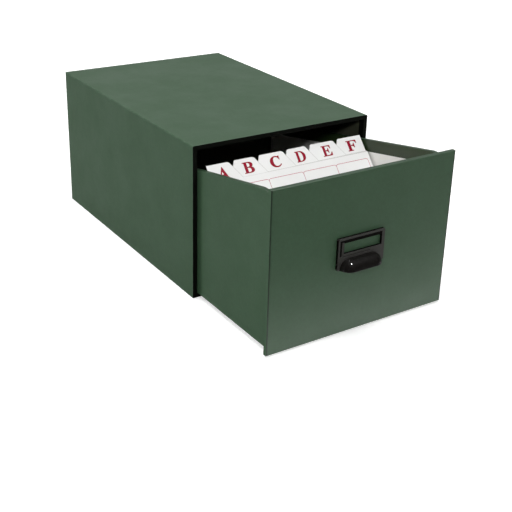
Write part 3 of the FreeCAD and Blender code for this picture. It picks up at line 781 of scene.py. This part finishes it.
def makeHolder():
    low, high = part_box("label_holder")
    look = holderLook
    left, right, base, top = (value / mm for value in (low.x, high.x, low.z, high.z))
    windowRight, windowBase = right - look["windowRight"], base + look["windowBase"]
    slotLeft, slotTop = left + look["frame"], top - look["frame"]
    slotRight = slotLeft + look["slot"]
    windowLeft, slotFoot = slotRight + look["strip"], windowBase - look["slotFoot"]
    rim = roundedCorners([(left, base), (right, base), (right, top), (left, top)], look["corner"])
    opening = [(slotLeft, slotFoot), (slotRight, slotFoot), (slotRight, slotTop - look["slot"]),
               (windowLeft, slotTop - look["slot"]), (windowLeft, windowBase),
               (windowRight, windowBase), (windowRight, slotTop), (slotLeft, slotTop)]
    grooveTop = windowBase - look["grooveDrop"]
    grooveLeft, grooveRight = windowLeft - look["grooveStart"], windowRight - look["grooveEnd"]
    groove = [(grooveLeft, grooveTop - look["groove"]), (grooveRight, grooveTop - look["groove"]),
              (grooveRight, grooveTop), (grooveLeft, grooveTop)]
    window = [(windowLeft, windowBase), (windowRight, windowBase),
              (windowRight, top - look["windowTop"]), (windowLeft, top - look["windowTop"])]
    window = roundedCorners(window, look["openCorner"], look["openSteps"])
    front = flatShape([rim, roundedCorners(opening, look["openCorner"], look["openSteps"]),
                       roundedCorners(groove, look["grooveCorner"], look["openSteps"])],
                      look["front"], look["soften"], look["softSteps"])
    back = flatShape([rim, window], look["back"])
    # the backing sheet on the panel behind the plate stands in for the shade of the gap under it
    out = look["backingOut"]
    outside = [(left - out, base), (right - out, base), (right - out, top + out),
               (left - out, top + out)]
    backing = flatShape([roundedCorners(outside, look["corner"]), window], look["backing"])
    upright = Matrix(((mm, 0, 0, 0), (0, 0, mm, 0), (0, mm, 0, 0), (0, 0, 0, 1)))
    panelFace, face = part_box("front_panel_cover")[0].y / mm, low.y / mm
    plateBack = face + look["front"] + look["back"]
    for mesh, depth in ((front, face + look["front"] / 2), (back, plateBack - look["back"] / 2),
                        (backing, panelFace - look["backing"] / 2 - look["backingGap"])):
        mesh.transform(Matrix.Translation((0, depth * mm, 0)) @ upright)
        tidyMesh(mesh)
    rear = behindPart("label_holder", (plateBack + look["lipGap"]) * mm)
    plate = pieceFrom("label_plate", joinMeshes("labelPlate", [front, rear]), "drawer",
                      "black_enamel", plateFinish)
    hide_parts("label_holder")
    # painted shade: the back layer and the backing sheet in dead black
    pieceFrom("label_liner", joinMeshes("labelLiner", [back, backing]), "drawer", "black_enamel",
              shadeLinerFinish)


makeHolder()
print("label holder made")


# floor, light and camera

stageLook = {
    "floorReach": 6.0, "floorTone": 0.8, "floorRoughness": 0.9, "floorGloss": 0.1,
    "floorFill": 0.5, "farFill": 1.0, "fillReach": (0.3, 0.9),  # the floor as the camera sees it
    "mirrorTone": 0.02, "stripGloss": 1.4, "stripBack": (-0.172, -0.179),  # as gloss sees it:
    "tableEdge": (-0.185, -0.25), "stripRight": (0.17, 0.24),  # a lit strip ahead,
    "cornerRise": (0.08, 0.18, 0.0, 0.38), "cornerEnd": (-0.36, -0.5),  # its right corner
    "sideEdge": (-0.15, 0.15), "lowGloss": 0.2, "sideGloss": 0.3,  # and the sides
    "skyFill": 0.1, "lowFill": 0.05, "fillRise": (0.05, 0.9),  # the world's light
    "backGloss": 0.42, "frontGloss": 0.02, "glossTurn": (-0.3, 0.4),  # and as gloss sees it
    "keyPlace": (-0.74, -0.84, 0.58), "keySize": 0.12, "keyEnergy": 5.0,
    "leftPlace": (-1.15, 1.35, 0.35), "leftSize": 0.4, "leftEnergy": 18.6,
    "frontPlace": (0.88, -0.86, 0.12), "frontSize": 0.4, "frontEnergy": 4.5,
    "skyPlace": (0.0, -0.05, 1.25), "skySize": 0.8, "skyEnergy": 14.8,
    "glintPlace": (0.236, -0.746, 1.08), "glintSize": 0.16, "glintEnergy": 26.0,
    "target": (0.0, -0.05, 0.05),
    "cameraPlace": (-0.326532, -0.554958, 0.284549),
    "cameraTurn": (67.0447, -1.7249, -33.7007),
    "sensor": 36.0, "lens": 67.771, "shift": (-0.0248, -0.0893), "clipStart": 0.01,
}


def makeFloor():
    look, reach = stageLook, stageLook["floorReach"]
    mesh = bpy.data.meshes.new("floor")
    corners = [(-reach, -reach, 0), (reach, -reach, 0), (reach, reach, 0), (-reach, reach, 0)]
    mesh.from_pydata(corners, [], [(0, 1, 2, 3)])
    floor = bpy.data.objects.new("floor", mesh)
    scene.collection.objects.link(floor)
    material, tree, shader = newMaterial("paleFloor", look["floorRoughness"], look["floorGloss"])
    rays = addNode(tree, "LightPath").outputs
    spot = objectPlace(tree)
    across, depth = axis(tree, spot, "X"), axis(tree, spot, "Y")
    beside = ramp(tree, depth, *look["sideEdge"], look["lowGloss"], look["sideGloss"])
    ahead = calc(tree, "MULTIPLY", ramp(tree, depth, *look["tableEdge"], look["stripGloss"], 0.0),
                 ramp(tree, across, *look["stripRight"], 1.0, 0.0))
    corner = calc(tree, "MULTIPLY", ramp(tree, across, *look["cornerRise"]),
                  ramp(tree, depth, *look["cornerEnd"], 1.0, 0.0))
    ahead = calc(tree, "ADD", ahead, corner)
    isAhead = ramp(tree, depth, *look["stripBack"])
    gloss = addNode(tree, "Mix", {0: isAhead, 2: beside, 3: ahead}).outputs[0]
    pale, dark = [look["floorTone"]] * 3 + [1], [look["mirrorTone"]] * 3 + [1]
    feed(tree, shader["Base Color"], mixColour(tree, rays["Is Glossy Ray"], pale, dark))
    away = addNode(tree, "VectorMath", {0: spot}, operation="LENGTH").outputs["Value"]
    fill = ramp(tree, away, *look["fillReach"], look["floorFill"], look["farFill"])
    shown = calc(tree, "MULTIPLY", rays["Is Camera Ray"], fill)
    mirrored = calc(tree, "MULTIPLY", rays["Is Glossy Ray"], gloss)
    shader["Emission Color"].default_value = (1, 1, 1, 1)
    feed(tree, shader["Emission Strength"], calc(tree, "ADD", shown, mirrored))
    mesh.materials.append(material)


def makeWorld():  # white to the camera, dim to the object, and a graded field to gloss
    look = stageLook
    world = bpy.data.worlds.new("studio")
    scene.world = world
    world.use_nodes = True
    tree = world.node_tree
    backdrop = tree.nodes["Background"].inputs
    rays = addNode(tree, "LightPath").outputs
    shown = calc(tree, "ADD", rays["Is Camera Ray"], rays["Is Transmission Ray"], clamp=True)
    heading = addNode(tree, "TexCoord").outputs["Generated"]
    gloss = ramp(tree, axis(tree, heading, "Y"), *look["glossTurn"], look["frontGloss"],
                 look["backGloss"])
    fill = ramp(tree, axis(tree, heading, "Z"), *look["fillRise"], look["lowFill"],
                look["skyFill"])
    plain = addNode(tree, "Mix", {0: rays["Is Glossy Ray"], 2: fill, 3: gloss}).outputs[0]
    backdrop["Color"].default_value = (1, 1, 1, 1)
    feed(tree, backdrop["Strength"],
         addNode(tree, "Mix", {0: shown, 2: plain, 3: 1.0}).outputs[0])


def softLamp(name):
    lamp = bpy.data.lights.new(name + "Lamp", "AREA")
    lamp.energy, lamp.size = stageLook[name + "Energy"], stageLook[name + "Size"]
    holder = bpy.data.objects.new(name + "Lamp", lamp)
    holder.location = stageLook[name + "Place"]
    aim = Vector(stageLook["target"]) - holder.location
    holder.rotation_euler = aim.to_track_quat("-Z", "Y").to_euler()
    holder.visible_camera = False
    scene.collection.objects.link(holder)
    return holder


def makeCamera():
    look = stageLook
    camera = bpy.data.objects.new("camera", bpy.data.cameras.new("camera"))
    camera.location = look["cameraPlace"]
    camera.rotation_euler = [radians(turn) for turn in look["cameraTurn"]]
    camera.data.sensor_width, camera.data.lens = look["sensor"], look["lens"]
    camera.data.shift_x, camera.data.shift_y = look["shift"]
    camera.data.clip_start = look["clipStart"]
    scene.collection.objects.link(camera)
    scene.camera = camera


makeFloor()
makeWorld()
for lampName in ("key", "sky", "left", "front"):
    softLamp(lampName).visible_glossy = False
softLamp("glint").visible_diffuse = False  # a small bright spot, seen in the gloss alone
makeCamera()
scene.view_settings.view_transform = "Standard"
print("stage made")
